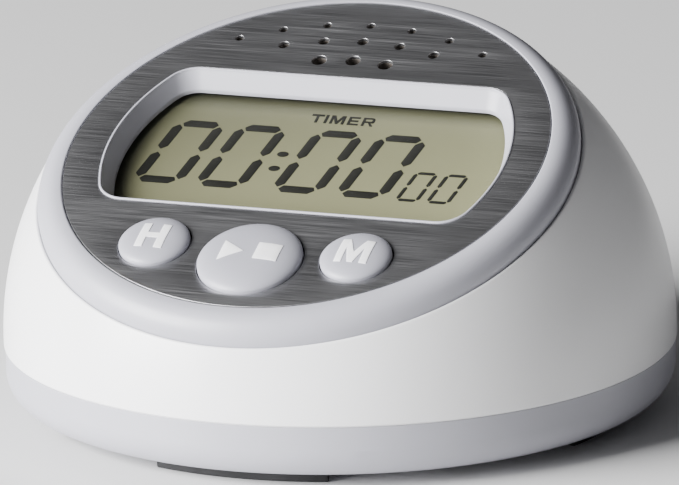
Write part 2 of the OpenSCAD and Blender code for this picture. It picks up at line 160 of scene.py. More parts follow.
def revolve(profile, around=160):
    # point(row, turn) = (radius * cos turn, radius * sin turn, height)
    turn = np.linspace(0, 2 * np.pi, around, endpoint=False)
    r, h = profile[:, :1], profile[:, 1:2]
    return np.stack([r * np.cos(turn), r * np.sin(turn), h + 0 * turn], -1)


def circleLoop(radius, middle=(0.0, 0.0), count=96):
    turn = np.linspace(0, 2 * np.pi, count, endpoint=False)
    return np.stack([middle[0] + radius * np.cos(turn), middle[1] + radius * np.sin(turn)], 1)


def plateMesh(name, loops, low, high, edge, detail=0):
    # flat sheet inside the first loop and outside the others, from low to high, its edges rounded by edge
    curve = bpy.data.curves.new(name, "CURVE")
    curve.dimensions = "2D"
    curve.fill_mode = "BOTH"
    for loop in loops:
        spline = curve.splines.new("POLY")
        spline.points.add(len(loop) - 1)
        spline.points.foreach_set("co", np.c_[loop, np.zeros(len(loop)), np.ones(len(loop))].ravel())
        spline.use_cyclic_u = True
    curve.extrude = (high - low) / 2 - edge
    curve.bevel_depth = edge
    curve.bevel_resolution = 2
    curve.offset = -edge
    holder = bpy.data.objects.new(name, curve)
    scene.collection.objects.link(holder)
    bpy.context.view_layer.update()
    mesh = bpy.data.meshes.new_from_object(holder.evaluated_get(bpy.context.evaluated_depsgraph_get()))
    bpy.data.objects.remove(holder)
    bm = bmesh.new()
    bm.from_mesh(mesh)
    bmesh.ops.remove_doubles(bm, verts=bm.verts, dist=1e-4)
    if detail:
        bmesh.ops.triangulate(bm, faces=bm.faces)
        bmesh.ops.subdivide_edges(bm, edges=bm.edges, cuts=detail, use_grid_fill=True)
    bmesh.ops.recalc_face_normals(bm, faces=bm.faces)
    for face in bm.faces:
        face.smooth = True
    bm.to_mesh(mesh)
    bm.free()
    mesh.transform(Matrix.Translation((0, 0, (low + high) / 2)))
    mesh.name = name
    return mesh


def movePoints(mesh, place):
    # every vertex goes through place, as one array
    co = np.empty(len(mesh.vertices) * 3)
    mesh.vertices.foreach_get("co", co)
    mesh.vertices.foreach_set("co", place(co.reshape(-1, 3)).ravel())
    mesh.update()
    return mesh


def platePiece(name, loops, low, high, edge, place, material, rider="timer"):
    return addPiece(name, movePoints(plateMesh(name, loops, low, high, edge), place), material, rider, 35)


def addNode(tree, kind, **settings):
    node = tree.nodes.new(kind)
    for key, value in settings.items():
        setattr(node, key, value)
    return node


def startMaterial(name, color, rough, metal=0.0):
    material = bpy.data.materials.new(name)
    material.use_nodes = True
    tree = material.node_tree
    shader = tree.nodes["Principled BSDF"]
    shader.inputs["Base Color"].default_value = (*color, 1)
    shader.inputs["Roughness"].default_value = rough
    shader.inputs["Metallic"].default_value = metal
    return material, tree, shader


def grain(tree, scale, detail=3.0, stretch=(1, 1, 1), turn=(0, 0, 0), rough=0.55):
    # noise on the object's own coordinates, turned and stretched first
    where = addNode(tree, "ShaderNodeTexCoord")
    lay = addNode(tree, "ShaderNodeMapping")
    lay.inputs["Rotation"].default_value = turn
    lay.inputs["Scale"].default_value = stretch
    noise = addNode(tree, "ShaderNodeTexNoise")
    noise.inputs["Scale"].default_value = scale
    noise.inputs["Detail"].default_value = detail
    noise.inputs["Roughness"].default_value = rough
    tree.links.new(where.outputs["Object"], lay.inputs["Vector"])
    tree.links.new(lay.outputs["Vector"], noise.inputs["Vector"])
    return noise.outputs["Fac"]


def spread(tree, value, low, high, start=0.3, end=0.7):
    # stretches a 0..1 pattern between two values
    node = addNode(tree, "ShaderNodeMapRange")
    for socket, number in (("From Min", start), ("From Max", end), ("To Min", low), ("To Max", high)):
        node.inputs[socket].default_value = number
    tree.links.new(value, node.inputs["Value"])
    return node.outputs["Result"]


def twoTone(tree, value, dark, light):
    mix = addNode(tree, "ShaderNodeMix", data_type="RGBA")
    mix.inputs[6].default_value = (*dark, 1)
    mix.inputs[7].default_value = (*light, 1)
    tree.links.new(value, mix.inputs["Factor"])
    return mix.outputs[2]


def bump(tree, shader, value, depth, strength=1.0):
    node = addNode(tree, "ShaderNodeBump")
    node.inputs["Strength"].default_value = strength
    node.inputs["Distance"].default_value = depth
    tree.links.new(value, node.inputs["Height"])
    tree.links.new(node.outputs["Normal"], shader.inputs["Normal"])


def mouldedPlastic(name, dark, light, rough, grainSize=0.35, depth=0.004, unevenness=0.06, gloss=0.5):
    # cloudy colour, patchy roughness and a fine moulded grain; sizes in millimetres
    material, tree, shader = startMaterial(name, light, rough)
    cloud = grain(tree, 90, 2)
    fine = grain(tree, 1000 / grainSize, 2)
    tree.links.new(twoTone(tree, spread(tree, cloud, 0, 1), dark, light), shader.inputs["Base Color"])
    tree.links.new(spread(tree, grain(tree, 420, 4), rough - unevenness, rough + unevenness),
                   shader.inputs["Roughness"])
    bump(tree, shader, fine, depth * mm)
    shader.inputs["IOR"].default_value = 1.5
    shader.inputs["Specular IOR Level"].default_value = gloss
    return material


def brushedSteel(name, dark, light, rough, turn=(0, 0, 0), lengthwise=130.0, across=7000.0, depth=0.004):
    # long thin streaks: the pattern is squeezed across the brushing and drawn out along it
    material, tree, shader = startMaterial(name, light, rough, 1.0)
    streak = grain(tree, 1.0, 5, (lengthwise, across, across), turn, 0.62)
    broad = grain(tree, 1.0, 3, (lengthwise * 0.35, across * 0.16, across * 0.16), turn)
    both = addNode(tree, "ShaderNodeMath", operation="MULTIPLY_ADD")
    both.inputs[1].default_value = 0.45
    tree.links.new(broad, both.inputs[0])
    tree.links.new(spread(tree, streak, 0.0, 0.55), both.inputs[2])
    tree.links.new(twoTone(tree, both.outputs[0], dark, light), shader.inputs["Base Color"])
    tree.links.new(spread(tree, streak, rough - 0.08, rough + 0.1), shader.inputs["Roughness"])
    bump(tree, shader, streak, depth * mm)
    return material


tiltTurn = math.atan2(-faceNormal[1], faceNormal[2])
finish = {
    "shellWhite": mouldedPlastic("shellWhite", (0.885, 0.885, 0.895), (0.9, 0.9, 0.91), 0.3, 0.4, 0.0006,
                                 0.025),
    "trimGrey": mouldedPlastic("trimGrey", (0.385, 0.385, 0.43), (0.4, 0.4, 0.445), 0.36, 0.4, 0.001, 0.03),
    "keyGrey": mouldedPlastic("keyGrey", (0.335, 0.335, 0.38), (0.35, 0.35, 0.395), 0.38, 0.35, 0.001,
                              0.03),
    "markWhite": mouldedPlastic("markWhite", (0.9, 0.9, 0.92), (0.94, 0.94, 0.95), 0.42, 0.25, 0.002),
    "faceSteel": brushedSteel("faceSteel", (0.31, 0.31, 0.318), (0.59, 0.59, 0.603), 0.38,
                              (-tiltTurn, 0, 0), 80.0, 6500.0, 0.002),
    "digitDark": mouldedPlastic("digitDark", (0.008, 0.008, 0.006), (0.012, 0.012, 0.009), 0.6, 0.2, 0.0008,
                                0.06, 0.3),
    "innerWhite": mouldedPlastic("innerWhite", (0.7, 0.7, 0.69), (0.76, 0.76, 0.75), 0.45),
    "rubberBlack": mouldedPlastic("rubberBlack", (0.012, 0.012, 0.013), (0.022, 0.022, 0.024), 0.75, 0.25,
                                  0.02, 0.08, 0.35),
    # painted shade: the web is coloured near black so the key gaps and grille holes look shadowed; the
    # moulding itself is grey
    "webPaintedShade": mouldedPlastic("webPaintedShade", (0.05, 0.042, 0.036), (0.065, 0.055, 0.047), 0.6, 0.4, 0.002),
    "stripGrey": mouldedPlastic("stripGrey", (0.08, 0.08, 0.085), (0.13, 0.13, 0.13), 0.6, 0.3, 0.006),
    "switchBlack": mouldedPlastic("switchBlack", (0.018, 0.018, 0.02), (0.032, 0.032, 0.034), 0.5, 0.3,
                                  0.008),
    "plungerIvory": mouldedPlastic("plungerIvory", (0.66, 0.62, 0.5), (0.72, 0.68, 0.57), 0.45),
    "resinBlack": mouldedPlastic("resinBlack", (0.01, 0.01, 0.011), (0.018, 0.018, 0.019), 0.22, 1.5, 0.02),
    "coneFilm": mouldedPlastic("coneFilm", (0.5, 0.42, 0.22), (0.58, 0.5, 0.28), 0.25, 0.6, 0.004),
    "leadRed": mouldedPlastic("leadRed", (0.36, 0.02, 0.015), (0.44, 0.03, 0.02), 0.42, 0.4, 0.006),
    "leadBlack": mouldedPlastic("leadBlack", (0.015, 0.015, 0.016), (0.025, 0.025, 0.026), 0.42, 0.4,
                                0.006),
    "platedCan": brushedSteel("platedCan", (0.42, 0.42, 0.43), (0.6, 0.6, 0.61), 0.3, (0, 0, 0), 300, 3000),
    "contactNickel": brushedSteel("contactNickel", (0.5, 0.49, 0.46), (0.66, 0.65, 0.62), 0.26, (0, 0, 0),
                                  300, 3000),
    "screwZinc": brushedSteel("screwZinc", (0.38, 0.38, 0.39), (0.56, 0.56, 0.58), 0.34, (0, 0, 0.6), 400,
                              2500),
    "foil": brushedSteel("foil", (0.55, 0.56, 0.52), (0.7, 0.71, 0.67), 0.4, (0, 0, 0), 150, 900),
}


def displayMaterial():
    # reflective display with a faint grain; its colour holds painted light, darker towards its upper left
    # and lighter towards its lower right, and painted shadow along its upper and left edges
    material, tree, shader = startMaterial("displayGreen", (0.2, 0.2, 0.11), 0.4)
    where = addNode(tree, "ShaderNodeTexCoord")
    lay = addNode(tree, "ShaderNodeMapping")
    lay.inputs["Rotation"].default_value = (-tiltTurn, 0, 0)
    part = addNode(tree, "ShaderNodeSeparateXYZ")
    tree.links.new(where.outputs["Object"], lay.inputs["Vector"])
    tree.links.new(lay.outputs["Vector"], part.inputs["Vector"])
    level = domeCentre[2] * faceNormal[1] * -1 * mm + body["faceShift"] * mm
    # painted light: the colour darkens across towards the left and along towards the top, lighter to the
    # lower right
    across = spread(tree, part.outputs["X"], 0.0, 0.5, -0.028, 0.026)
    along = spread(tree, part.outputs["Y"], 0.5, 0.0, level - 0.012, level + 0.016)
    both = addNode(tree, "ShaderNodeMath", operation="ADD")
    tree.links.new(across, both.inputs[0])
    tree.links.new(along, both.inputs[1])
    paintedLightTone = twoTone(tree, both.outputs[0], (0.105, 0.106, 0.062), (0.25, 0.25, 0.14))
    # painted shadow from the window's upper and left walls, multiplied over the painted light
    topEdgeShadow = spread(tree, part.outputs["Y"], 1.0, 0.16, level + 0.0122, level + 0.0156)
    leftEdgeShadow = spread(tree, part.outputs["X"], 0.2, 1.0, -0.0282, -0.0248)
    edges = addNode(tree, "ShaderNodeMath", operation="MULTIPLY")
    tree.links.new(topEdgeShadow, edges.inputs[0])
    tree.links.new(leftEdgeShadow, edges.inputs[1])
    shade = addNode(tree, "ShaderNodeMix", data_type="RGBA", blend_type="MULTIPLY")
    shade.inputs["Factor"].default_value = 1.0
    tree.links.new(paintedLightTone, shade.inputs[6])
    tree.links.new(edges.outputs[0], shade.inputs[7])
    tree.links.new(shade.outputs[2], shader.inputs["Base Color"])
    tree.links.new(spread(tree, grain(tree, 400, 3), 0.36, 0.46), shader.inputs["Roughness"])
    bump(tree, shader, grain(tree, 4000, 2), 0.0006 * mm)
    return material


def boardMaterial():
    # green solder mask with a faint pattern of tracks under it
    material, tree, shader = startMaterial("boardGreen", (0.03, 0.2, 0.09), 0.32)
    where = addNode(tree, "ShaderNodeTexCoord")
    lay = addNode(tree, "ShaderNodeMapping")
    lay.inputs["Rotation"].default_value = (-tiltTurn, 0, 0)
    brick = addNode(tree, "ShaderNodeTexBrick", offset=0.37, squash=0.6)
    for socket, number in (("Scale", 420.0), ("Mortar Size", 0.09), ("Mortar Smooth", 0.2),
                           ("Brick Width", 1.9), ("Row Height", 0.5)):
        brick.inputs[socket].default_value = number
    brick.inputs["Color1"].default_value = (0.02, 0.15, 0.065, 1)
    brick.inputs["Color2"].default_value = (0.024, 0.17, 0.075, 1)
    brick.inputs["Mortar"].default_value = (0.05, 0.27, 0.12, 1)
    tree.links.new(where.outputs["Object"], lay.inputs["Vector"])
    tree.links.new(lay.outputs["Vector"], brick.inputs["Vector"])
    tree.links.new(brick.outputs["Color"], shader.inputs["Base Color"])
    tree.links.new(spread(tree, grain(tree, 300, 3), 0.26, 0.4), shader.inputs["Roughness"])
    bump(tree, shader, brick.outputs["Fac"], 0.03 * mm, 0.6)
    return material


def clearMaterial():
    # clear window: mostly see-through, with a polished surface that only its gloss shows
    material, tree, shader = startMaterial("windowClear", (0.02, 0.022, 0.022), 0.06)
    tree.links.new(spread(tree, grain(tree, 160, 3), 0.04, 0.1), shader.inputs["Roughness"])
    tree.links.new(spread(tree, grain(tree, 40, 2), 0.035, 0.06), shader.inputs["Alpha"])
    bump(tree, shader, grain(tree, 900, 2), 0.001 * mm)
    return material


def cellMaterial():
    # sleeve in two bands along the cell: warm metal at the button end, dark over the rest
    material, tree, shader = startMaterial("cellSleeve", (0.03, 0.03, 0.035), 0.3)
    where = addNode(tree, "ShaderNodeTexCoord")
    part = addNode(tree, "ShaderNodeSeparateXYZ")
    tree.links.new(where.outputs["Object"], part.inputs["Vector"])
    edge = spread(tree, part.outputs["X"], 0, 1, 0.0095, 0.0099)
    tree.links.new(twoTone(tree, edge, (0.03, 0.03, 0.035), (0.5, 0.27, 0.08)), shader.inputs["Base Color"])
    tree.links.new(spread(tree, grain(tree, 250, 4), 0.24, 0.36), shader.inputs["Roughness"])
    bump(tree, shader, grain(tree, 1500, 2), 0.004 * mm)
    shader.inputs["Metallic"].default_value = 0.35
    return material


finish["displayGreen"] = displayMaterial()
finish["boardGreen"] = boardMaterial()
finish["windowClear"] = clearMaterial()
finish["cellSleeve"] = cellMaterial()

# carried-over nodes and what each is made of
nodeFinish = {
    "display_lens": "windowClear", "display_glass": "displayGreen", "display_reflector": "foil",
    "display_frame": "innerWhite", "contact_strip": "stripGrey", "main_board": "boardGreen",
    "controller_blob": "resinBlack", "crystal": "platedCan", "key_switches": "switchBlack",
    "hour_plunger": "plungerIvory", "start_stop_plunger": "plungerIvory", "minute_plunger": "plungerIvory",
    "sounder_gasket": "rubberBlack", "sounder_frame": "switchBlack", "sounder_cone": "coneFilm",
    "sounder_magnet": "platedCan", "base_cover": "trimGrey", "front_cell": "cellSleeve",
    "rear_cell": "cellSleeve", "bridge_contact": "contactNickel", "plus_contact": "contactNickel",
    "minus_contact": "contactNickel", "volume_switch": "switchBlack", "case_screws": "screwZinc",
    "board_screws": "screwZinc", "red_lead": "leadRed", "black_lead": "leadBlack",
    "sounder_leads": "leadRed",
}
for node, key in nodeFinish.items():
    mesh = frame["nodes"][node].data
    mesh.materials.clear()
    mesh.materials.append(finish[key])
print("lab timer: materials ready")

domeShape = {"openingRadius": 38.2, "lipRound": 0.3, "seamBevel": 0.3, "around": 288, "down": 56}


def domeGrid(shape):
    # outside and inside walls run along great circles from the tilted opening to the level seam:
    # point(turn, s) = centre + R * (sin((1-s)w) a + sin(s w) b) / sin w, where w is the angle between a and b
    outer, inner = body["domeRadius"], body["domeRadius"] - body["wall"]
    opening, lip = shape["openingRadius"], shape["lipRound"]
    turn = np.linspace(0, 2 * np.pi, shape["around"], endpoint=False)
    ring = np.stack([np.cos(turn), np.sin(turn), 0 * turn], 1)

    def axisRing(r, n):
        return placeOnAxis(ring * r + [0, 0, n]) / mm - domeCentre

    def levelRing(r, z):
        return ring * r + [0, 0, z]

    def arc(start, end, size, steps):
        a, b = start / np.linalg.norm(start, axis=1)[:, None], end / np.linalg.norm(end, axis=1)[:, None]
        w = np.arccos(np.clip((a * b).sum(1), -1, 1))[None, :, None]
        s = np.linspace(0, 1, steps)[:, None, None]
        return size * (np.sin((1 - s) * w) * a + np.sin(s * w) * b) / np.sin(w)

    lipTurn = math.asin((opening + lip) / (outer - lip))
    lipMid = np.array([opening + lip, (outer - lip) * math.cos(lipTurn)])
    sweep = np.linspace(math.pi, math.pi / 2 - lipTurn, 9)
    lipRows = np.stack([axisRing(lipMid[0] + lip * math.cos(t),
                                 lipMid[1] + lip * math.sin(t)) for t in sweep])
    drop = -body["domeLift"]
    bevel = shape["seamBevel"]
    outSeam = levelRing(math.sqrt(outer**2 - (drop + bevel) ** 2), drop + bevel)
    inSeam = levelRing(math.sqrt(inner**2 - drop**2), drop)
    seamRadius = math.sqrt(outer**2 - drop**2)
    foot = np.stack([levelRing(seamRadius - bevel, drop), levelRing(seamRadius - 2 * bevel, drop)])
    innerHeight = math.sqrt(inner**2 - opening**2)
    innerTop = axisRing(opening, innerHeight)
    outside = arc(lipRows[-1], outSeam, outer, shape["down"])
    inside = arc(inSeam, innerTop, inner, shape["down"] // 2)
    wallTop = np.stack([axisRing(opening, n) for n in np.linspace(innerHeight, lipMid[1], 4)[1:-1]])
    rows = np.concatenate([lipRows, outside[1:], foot, inside, wallTop])
    return (rows + domeCentre) * mm


dome = skinPiece("domeShell", domeGrid(domeShape), finish["shellWhite"], sharpAngle=40)
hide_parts("upper_shell")
print("lab timer: dome made")

ringShape = {"outer": 38.15, "round": 3.2, "rise": 0.1, "seat": 34.4, "foot": -11.0, "wallIn": 36.0,
             "edge": 0.22,
             "shelf": 31.0, "shelfTop": 0.5, "shelfLow": 2.9}


def ringGrid(shape):
    # a closed section carried round the face's axis; its inner edge follows the steel disc up the slope
    face = body["faceHeight"]
    top, foot = face + shape["rise"], face + shape["foot"]
    shelfTop, shelfLow = face - shape["shelfTop"], face - shape["shelfLow"]
    bullR = shape["outer"] - shape["round"]
    sweep = np.linspace(0, math.pi / 2, 17)
    nose = np.stack([bullR + shape["round"] * np.cos(sweep),
                     top - shape["round"] + shape["round"] * np.sin(sweep)], 1)
    inner = softCorners(
        [nose[-1], [shape["seat"], top], [shape["seat"], shelfTop], [shape["shelf"], shelfTop],
         [shape["shelf"], shelfLow],
         [shape["wallIn"], shelfLow], [shape["wallIn"], foot], [shape["outer"], foot], nose[0]],
        [0, shape["edge"], 0, 0, 0, 0.6, 0.2, 0.2, 0], 6, False)
    section = np.concatenate([nose, inner[1:-1]])
    turn = np.linspace(0, 2 * np.pi, 288, endpoint=False)
    r, n = section[:, :1], section[:, 1:]
    slide = body["faceShift"] * np.clip((bullR - r) / (bullR - shape["seat"]), 0, 1)
    return placeOnAxis(np.stack([r * np.cos(turn), r * np.sin(turn) + slide, n + 0 * turn], -1))


ring = skinPiece("bezelRing", ringGrid(ringShape), finish["trimGrey"], sharpAngle=50)
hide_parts("bezel")

windowShape = {"side": 29.2, "low": -13.4, "high": 17.0, "corner": 4.6, "lip": 0.4, "rise": 0.15,
               "clearSide": 27.5, "clearLow": -11.8, "clearHigh": 14.9, "clearCorner": 3.6, "depth": -2.4}


def windowLoop(side, low, high, corner):
    # straight top and bottom edges, side arcs about the face's centre, and corner arcs tangent to both
    def cornerPart(level, sign):
        v = level - sign * corner
        u = math.sqrt((side - corner) ** 2 - v**2)
        return u, v, math.atan2(v, u)

    uTop, vTop, topTurn = cornerPart(high, 1)
    uLow, vLow, lowTurn = cornerPart(low, -1)
    s = np.linspace(0, 1, 13)
    arcs = [
        (0, 0, side, lowTurn + (topTurn - lowTurn) * np.linspace(0, 1, 33)[:-1]),
        (uTop, vTop, corner, topTurn + (math.pi / 2 - topTurn) * s),
        (-uTop, vTop, corner, math.pi / 2 + (math.pi / 2 - topTurn) * s),
        (0, 0, side, math.pi - topTurn + (topTurn - lowTurn) * np.linspace(0, 1, 33)[1:-1]),
        (-uLow, vLow, corner, math.pi - lowTurn + (math.pi / 2 + lowTurn) * s),
        (uLow, vLow, corner, -math.pi / 2 + (math.pi / 2 + lowTurn) * s[:-1]),
    ]
    return np.concatenate([np.stack([a + r * np.cos(t), b + r * np.sin(t)], 1) for a, b, r, t in arcs])


def windowFrameGrid(shape):
    # rows of window outlines: up the outside, over a half-round lip and down the sloping walls
    half = shape["lip"] / 2
    rows = [(0.0, -2.9), (0.0, shape["rise"] - half)]
    sweep = np.linspace(0, math.pi, 9)[1:]
    rows += [(half * (1 - math.cos(t)), shape["rise"] - half + half * math.sin(t)) for t in sweep]
    grid = [withHeight(windowLoop(shape["side"] - d, shape["low"] + d, shape["high"] - d,
                                  shape["corner"] - d), n) for d, n in rows]
    top = grid[-1]
    foot = withHeight(windowLoop(shape["clearSide"], shape["clearLow"], shape["clearHigh"],
                                 shape["clearCorner"]), shape["depth"])
    grid += [top + (foot - top) * t for t in (0.08, 0.5, 0.92, 1.0)]
    grid.append(foot - [0, 0, 0.5])
    return placeOnFace(np.stack(grid))


def withHeight(loop, n):
    return np.c_[loop, np.full(len(loop), n)]


windowFrame = skinPiece("windowFrame", windowFrameGrid(windowShape), finish["trimGrey"], sharpAngle=50)

keyShape = {
    "hour": {"node": "hour_button", "body": "hour_key", "u": -14.75, "v": -22.2, "radius": 5.0, "edge": 0.3,
             "crown": 1.42},
    "startStop": {"node": "start_stop_button", "body": "start_stop_key", "u": 0.0, "v": -24.3,
                  "radius": 7.35, "edge": 0.35, "crown": 1.85},
    "minute": {"node": "minute_button", "body": "minute_key", "u": 14.75, "v": -22.2, "radius": 5.0,
               "edge": 0.3, "crown": 1.42},
}
grilleShape = {"middle": -8.1, "step": 9.8, "rows": ((37.1, 7, 0.62), (33.4, 5, 0.78), (29.0, 3, 1.08))}


def grilleLoops(extra):
    # three arcs of round holes on one polar grid
    loops = []
    for radius, count, size in grilleShape["rows"]:
        for turn in np.radians((np.arange(count) - (count - 1) / 2) * grilleShape["step"]):
            middle = (radius * math.sin(turn), grilleShape["middle"] + radius * math.cos(turn))
            loops.append(circleLoop(size + extra, middle, 32))
    return loops


def keyLoops(gap):
    return [circleLoop(k["radius"] + gap, (k["u"], k["v"]), 96) for k in keyShape.values()]


webShape = {"radius": 33.2, "window": (29.0, -13.2, 16.8, 4.5), "keyGap": 0.3, "holeGap": 0.03,
            "low": -2.85, "high": -0.52}
steelShape = {"radius": 34.25, "window": (29.26, -13.46, 17.06, 4.64), "keyGap": 0.2, "holeGap": 0.0,
              "low": -0.5, "high": 0.0}


def facePlate(name, shape, around, material):
    # round plate with the window, the key holes and the grille cut out of it
    loops = [circleLoop(shape["radius"], (0, 0), around), windowLoop(*shape["window"])]
    loops += keyLoops(shape["keyGap"]) + grilleLoops(shape["holeGap"])
    return platePiece(name, loops, shape["low"], shape["high"], 0.05, placeOnFace, material)


# the web behind the steel wears painted shade, darkening what shows through the gaps and holes
web = facePlate("faceWeb", webShape, 128, finish["webPaintedShade"])

steel = facePlate("steelFace", steelShape, 256, finish["faceSteel"])
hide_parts("face_plate")
print("lab timer: face made")


capShape = {"flange": 1, "flangeTop": -3.1, "flangeLow": -3.9, "stem": 1.5, "stemLow": -4.3}
markRise = 0.07


def capHeight(key, x):
    # height = edge + (crown - edge) * (1 - x^3)^0.62, x being radius over the button's radius
    return key["edge"] + (key["crown"] - key["edge"]) * np.clip(1 - np.clip(x, 0, 1) ** 3, 0, 1) ** 0.62


def capGrid(key):
    # pillow-topped cap, straight side, a wider flange behind the web and a short stem
    x = np.sin(np.linspace(0.04, math.pi / 2, 26))
    top = np.stack([key["radius"] * x, capHeight(key, x)], 1)
    radius, flange, stem = key["radius"], key["radius"] + capShape["flange"], capShape["stem"]
    side = softCorners([[radius, key["edge"]], [radius, capShape["flangeTop"]],
                        [flange, capShape["flangeTop"]],
                        [flange, capShape["flangeLow"]], [stem, capShape["flangeLow"]],
                        [stem, capShape["stemLow"]]],
                       [0, 0, 0.1, 0.1, 0.1, 0], 4, False)
    return placeOnFace(revolve(np.concatenate([top, side[1:]]), 128) + [key["u"], key["v"], 0])


def markMesh(name, loops, key, rise):
    # flat mark bent over the cap: each point is lifted by the cap's height under it
    mesh = plateMesh(name, loops, -0.1, rise, 0.02, 3)

    def lay(p):
        x = np.hypot(p[:, 0], p[:, 1]) / key["radius"]
        return placeOnFace(np.stack([p[:, 0] + key["u"], p[:, 1] + key["v"], p[:, 2] + capHeight(key, x)],
                                    1))

    return movePoints(mesh, lay)


markLoops = {
    "hour": [[(-2.0, -2.48), (-0.84, -2.48), (-0.84, -0.5), (0.84, -0.5), (0.84, -2.48), (2.0, -2.48),
              (2.0, 2.48), (0.84, 2.48), (0.84, 0.5), (-0.84, 0.5), (-0.84, 2.48), (-2.0, 2.48)]],
    "startStop": [[(-3.85, -2.4), (-0.6, -0.3), (-3.85, 1.8)],
                  [(1.15, -1.65), (4.55, -1.65), (4.55, 1.75), (1.15, 1.75)]],
    "minute": [[(-2.35, -2.38), (-1.3, -2.38), (-1.3, 0.6), (-0.4, -2.38), (0.4, -2.38), (1.3, 0.6),
                (1.3, -2.38), (2.35, -2.38),
                (2.35, 2.38), (1.15, 2.38), (0.0, -0.3), (-1.15, 2.38), (-2.35, 2.38)]],
}
for label, key in keyShape.items():
    cap = skinPiece(label + "Cap", capGrid(key), finish["keyGrey"], key["body"], closed=False,
                    sharpAngle=50)
    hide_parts(key["node"])
    loops = [np.array(loop) for loop in markLoops[label]]
    mark = markMesh(label + "Mark", loops, key, markRise)
    mark = addPiece(label + "Mark", mark, finish["markWhite"], key["body"], 40)
print("lab timer: buttons made")

digitShape = {"level": -3.6, "thick": 0.03, "slant": 9.6, "row": -4.85,
              "large": {"width": 7.5, "height": 14.3, "bar": 1.5, "gap": 0.33},
              "largeStarts": (-25.32, -16.02, -4.59, 4.87),
              "small": {"width": 3.45, "height": 6.62, "bar": 0.58, "gap": 0.14},
              "smallStarts": (13.93, 18.45),
              "dotWidth": 1.7, "dotHeight": 1.2, "dots": ((-5.43, 0.18), (-5.23, 3.42))}


def segmentLoops(width, height, bar, gap):
    # the six outer bars of a seven-segment zero: six-cornered bars along the sides
    # of an upright box from (0, 0)
    half, low, mid = bar / 2, bar / 2 + gap, height / 2

    def flat(level):
        return np.array([(low, level), (low + half * 0.6, level + half),
                         (width - low - half * 0.6, level + half), (width - low, level),
                         (width - low - half, level - half), (low + half, level - half)])

    def tall(place, start, end):
        return np.array([(place, start), (place - half, start + half), (place - half, end - half),
                         (place, end),
                         (place + half, end - half), (place + half, start + half)])

    bars = [flat(half), [1, -1] * (flat(half) - [0, height]), tall(half, low, mid - gap),
            tall(half, mid + gap, height - low),
            tall(width - half, low, mid - gap), tall(width - half, mid + gap, height - low)]
    return [softCorners(loop, [bar * 0.08] * 6, 3) for loop in bars]


def leanPlace(u, v):
    # slants a digit and puts its lower left corner at (u, v) on the display
    lean = math.tan(math.radians(digitShape["slant"]))

    def place(p):
        return placeOnFace(np.stack([p[:, 0] + u + p[:, 1] * lean, p[:, 1] + v, p[:, 2]], 1))

    return place


def inkPiece(name, loops, place):
    # dark liquid-crystal film lying on the display glass
    level = digitShape["level"]
    platePiece(name, loops, level, level + digitShape["thick"], 0.004, place, finish["digitDark"])


for size in ("large", "small"):
    for i, start in enumerate(digitShape[size + "Starts"]):
        inkPiece("%sDigit%d" % (size, i + 1), segmentLoops(**digitShape[size]),
                 leanPlace(start, digitShape["row"]))
for i, spot in enumerate(digitShape["dots"]):
    dot = circleLoop(1, (0, 0), 32) * [digitShape["dotWidth"] / 2, digitShape["dotHeight"] / 2] + spot
    inkPiece("colonDot%d" % (i + 1), [dot], placeOnFace)

wordShape = {"height": 1.88, "stroke": 0.42, "level": 10.95,
             "letters": (("T", -3.89, 1.86), ("I", -1.8, 0.44), ("M", -0.95, 2.14), ("E", 1.67, 1.66),
                         ("R", 3.78, 1.8))}


def letterLoops(letter, wide, high, bar):
    # block letters drawn in a box from (0, 0) to (wide, high) with strokes of width bar
    mid = wide / 2
    if letter == "T":
        return [[(mid - bar / 2, 0), (mid + bar / 2, 0), (mid + bar / 2, high - bar), (wide, high - bar),
                 (wide, high), (0, high), (0, high - bar), (mid - bar / 2, high - bar)]]
    if letter == "I":
        return [[(0, 0), (wide, 0), (wide, high), (0, high)]]
    if letter == "M":
        return [[(0, 0), (bar, 0), (bar, high * 0.62), (mid - bar * 0.42, 0), (mid + bar * 0.42, 0),
                 (wide - bar, high * 0.62), (wide - bar, 0),
                 (wide, 0), (wide, high), (wide - bar * 1.35, high), (mid, high * 0.38), (bar * 1.35, high),
                 (0, high)]]
    if letter == "E":
        low, top = (high - bar * 0.9) / 2, (high + bar * 0.9) / 2
        return [[(0, 0), (wide, 0), (wide, bar * 0.9), (bar, bar * 0.9), (bar, low), (wide * 0.92, low),
                 (wide * 0.92, top), (bar, top),
                 (bar, high - bar * 0.9), (wide, high - bar * 0.9), (wide, high), (0, high)]]
    waist = high * 0.38
    outer = softCorners([(0, 0), (bar, 0), (bar, waist), (wide * 0.5, waist), (wide - bar * 1.15, 0),
                         (wide, 0), (wide * 0.7, waist), (wide, waist), (wide, high), (0, high)],
                        [0, 0, 0, 0, 0, 0, 0, 0.3, 0.5, 0], 6)
    inner = softCorners([(bar, waist + bar * 0.85), (wide - bar, waist + bar * 0.85),
                         (wide - bar, high - bar * 0.85), (bar, high - bar * 0.85)], [0, 0.14, 0.14, 0], 5)
    return [outer, inner]


wordLoops = []
for letter, start, wide in wordShape["letters"]:
    loops = letterLoops(letter, wide, wordShape["height"], wordShape["stroke"])
    wordLoops += [np.array(loop) + [start, wordShape["level"]] for loop in loops]
inkPiece("displayWord", wordLoops, placeOnFace)
print("lab timer: display made")

footShape = {"inner": 37.3, "outer": 41.0, "half": 18.0, "round": 0.9,
             "top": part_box("front_foot")[1].z / mm}
footPlaces = {"front_foot": -90.0, "right_foot": 0.0, "rear_foot": 90.0, "left_foot": 180.0}


